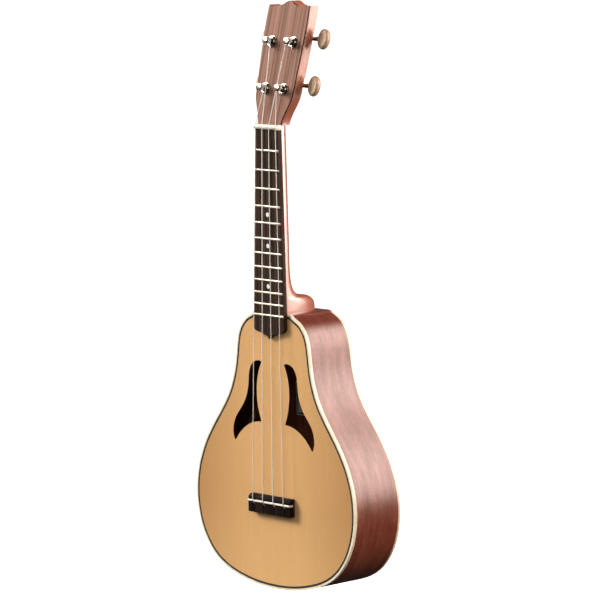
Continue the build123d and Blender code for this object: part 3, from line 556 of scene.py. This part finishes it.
def winding(name, material):
    """Turns of string round a post: in from the nut along the inner side, up to its hole."""
    centre = joint(f"post_turn_{name}")[0]
    across, up, out = head_axes()
    inner = -across if centre.x > 0 else across
    radius = STRING_RADII[name]
    reach = POST_RADIUS + radius
    rise = (STRING_HOLE_LEVEL - STRING_LEVEL) / WINDING_TURNS
    points = []
    for i in range(int(WINDING_TURNS * WINDING_STEPS) + 1):
        angle = 2 * pi * i / WINDING_STEPS
        level = STRING_LEVEL + rise * i / WINDING_STEPS
        points.append(centre + reach * (cos(angle) * inner + sin(angle) * up) + level * out)
    level = STRING_HOLE_LEVEL + 0.1 * MM
    points.append(centre + 0.8 * POST_RADIUS * up + level * out)
    points.append(centre - 0.3 * POST_RADIUS * up + level * out)
    piece = tube(f"wound_string_{name}", points, radius, material)
    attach(piece, f"post_{name}")
    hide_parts(f"string_winding_{name}")


def button(name, material):
    """Oval button: faces with a fine moulded line round them, and a crowned rim."""
    centre, outward = joint(f"key_turn_{name}")
    up, out = head_axes()[1:]
    middle = centre + outward * BUTTON_REACH
    rings = BUTTON_PROFILE + [(share, -depth) for share, depth in reversed(BUTTON_PROFILE)]
    points, faces = [], []
    for share, depth in rings:
        raised = out * (depth * BUTTON_HALF_THICKNESS)
        if share == 0.0:
            points.append(middle + raised)
            continue
        for i in range(BUTTON_AROUND):
            angle = 2 * pi * i / BUTTON_AROUND
            side = outward * (cos(angle) * BUTTON_HALF_LENGTH * share)
            tall = up * (sin(angle) * BUTTON_HALF_HEIGHT * share)
            points.append(middle + side + tall + raised)
    last = len(points) - 1
    turns = [(i, (i + 1) % BUTTON_AROUND) for i in range(BUTTON_AROUND)]
    for start in range(1, last - BUTTON_AROUND, BUTTON_AROUND):
        beyond = start + BUTTON_AROUND
        faces += [(start + i, start + j, beyond + j, beyond + i) for i, j in turns]
    for i, j in turns:
        faces.append((0, 1 + j, 1 + i))
        faces.append((last, last - BUTTON_AROUND + i, last - BUTTON_AROUND + j))
    piece = add_mesh(f"button_{name}", points, faces, material)
    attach(piece, f"key_{name}")
    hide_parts(f"tuner_button_{name}")


def make_pieces():
    nylon_white = bpy.data.materials["nylon"]
    cream = moulded("button_cream", (0.51, 0.325, 0.200), (0.42, 0.262, 0.155),
                    roughness=(0.35, 0.48), swirl=150.0, coat=0.15, subsurface=0.1)
    for name in STRINGS:
        winding(name, nylon_white)
        button(name, cream)


# ---------------------------------------------------------------- studio
def add_camera():
    camera = bpy.data.cameras.new("camera")
    camera.lens = CAMERA_LENS
    camera.sensor_width = CAMERA_SENSOR
    camera.clip_end = CAMERA_FAR
    turn = Matrix.Rotation(radians(CAMERA_YAW), 3, "Z")
    turn = turn @ Matrix.Rotation(radians(90 - CAMERA_PITCH), 3, "X")
    turn = turn @ Matrix.Rotation(radians(CAMERA_ROLL), 3, "Z")
    holder = bpy.data.objects.new("camera", camera)
    place = CAMERA_TARGET + turn.col[2] * CAMERA_DISTANCE
    holder.matrix_world = Matrix.Translation(place) @ turn.to_4x4()
    bpy.context.scene.collection.objects.link(holder)
    bpy.context.scene.camera = holder


def soft_box(name, direction, distance, width, height, power, colour):
    """A rectangular light aimed at the instrument's middle. Lengths in metres, power in watts."""
    light = bpy.data.lights.new(name, "AREA")
    light.shape = "RECTANGLE"
    light.size = width
    light.size_y = height
    light.energy = power
    light.color = colour
    holder = bpy.data.objects.new(name, light)
    away = Vector(direction).normalized()
    holder.location = CAMERA_TARGET + away * distance
    holder.rotation_euler = away.to_track_quat("Z", "Y").to_euler()
    bpy.context.scene.collection.objects.link(holder)


def add_lights():
    soft_box("key", KEY_DIRECTION, 5.0, 2.0, 2.0, 335.0, (1.0, 0.96, 0.90))
    soft_box("side", SIDE_DIRECTION, 1.9, 1.2, 1.6, 62.0, (1.0, 0.81, 0.72))
    soft_box("front", FRONT_DIRECTION, 2.4, 1.2, 1.2, 18.0, (1.0, 1.0, 1.0))


def add_world():
    """Studio light: a broad bright side towards the key light, fading to dark opposite it."""
    world = bpy.data.worlds.new("studio")
    world.use_nodes = True
    tree = world.node_tree
    background = tree.nodes["Background"]
    place = tree.nodes.new("ShaderNodeTexCoord")
    towards = tree.nodes.new("ShaderNodeVectorMath")
    towards.operation = "DOT_PRODUCT"
    towards.inputs[1].default_value = Vector(KEY_DIRECTION).normalized()
    spread = tree.nodes.new("ShaderNodeMapRange")
    spread.inputs["From Min"].default_value = -1.0
    ramp = tree.nodes.new("ShaderNodeValToRGB")
    dark, bright = ramp.color_ramp.elements
    dark.position, dark.color = 0.5, (0.04, 0.037, 0.034, 1.0)
    bright.position, bright.color = 0.95, (0.7, 0.68, 0.64, 1.0)
    tree.links.new(place.outputs["Generated"], towards.inputs[0])
    tree.links.new(towards.outputs["Value"], spread.inputs["Value"])
    tree.links.new(spread.outputs["Result"], ramp.inputs["Fac"])
    tree.links.new(ramp.outputs["Color"], background.inputs["Color"])
    background.inputs["Strength"].default_value = 0.55
    bpy.context.scene.world = world


def add_surroundings():
    """Wide pale floor under the hanging instrument, and a pale wall round it.

    Both are seen, and neither lights the instrument.
    """
    paint = Paint("floor", Roughness=0.9, Specular_IOR_Level=0.1, Emission_Strength=1.0,
                  Emission_Color=(1.0, 1.0, 1.0, 1.0))
    grain = paint.noise(paint.place, 6.0, detail=3.0)
    paint.feed("Base Color", paint.ramp(grain, (0.3, (0.86, 0.86, 0.86)), (0.7, (0.9, 0.9, 0.9))))
    level = CAD_BOX[0][2] - FLOOR_DROP
    corners = [(x * FLOOR_REACH, y * FLOOR_REACH, level)
               for x, y in ((-1, -1), (1, -1), (1, 1), (-1, 1))]
    floor = add_mesh("floor", corners, [(0, 1, 2, 3)], paint.material)
    ring = []
    for i in range(BACKDROP_SIDES):
        angle = 2 * pi * i / BACKDROP_SIDES
        ring.append((BACKDROP_RADIUS * cos(angle), BACKDROP_RADIUS * sin(angle)))
    points = [(x, y, level + rise) for rise in (0.0, BACKDROP_RADIUS) for x, y in ring]
    walls = []
    for i in range(BACKDROP_SIDES):
        j = (i + 1) % BACKDROP_SIDES
        walls.append((i, j, BACKDROP_SIDES + j, BACKDROP_SIDES + i))
    backdrop = add_mesh("backdrop", points, walls, paint.material)
    backdrop.visible_shadow = False
    for pale in (floor, backdrop):
        pale.visible_glossy = False
        pale.visible_diffuse = False


dress_nodes()
make_pieces()
add_camera()
add_lights()
add_world()
add_surroundings()
bpy.context.scene.view_settings.view_transform = "Standard"
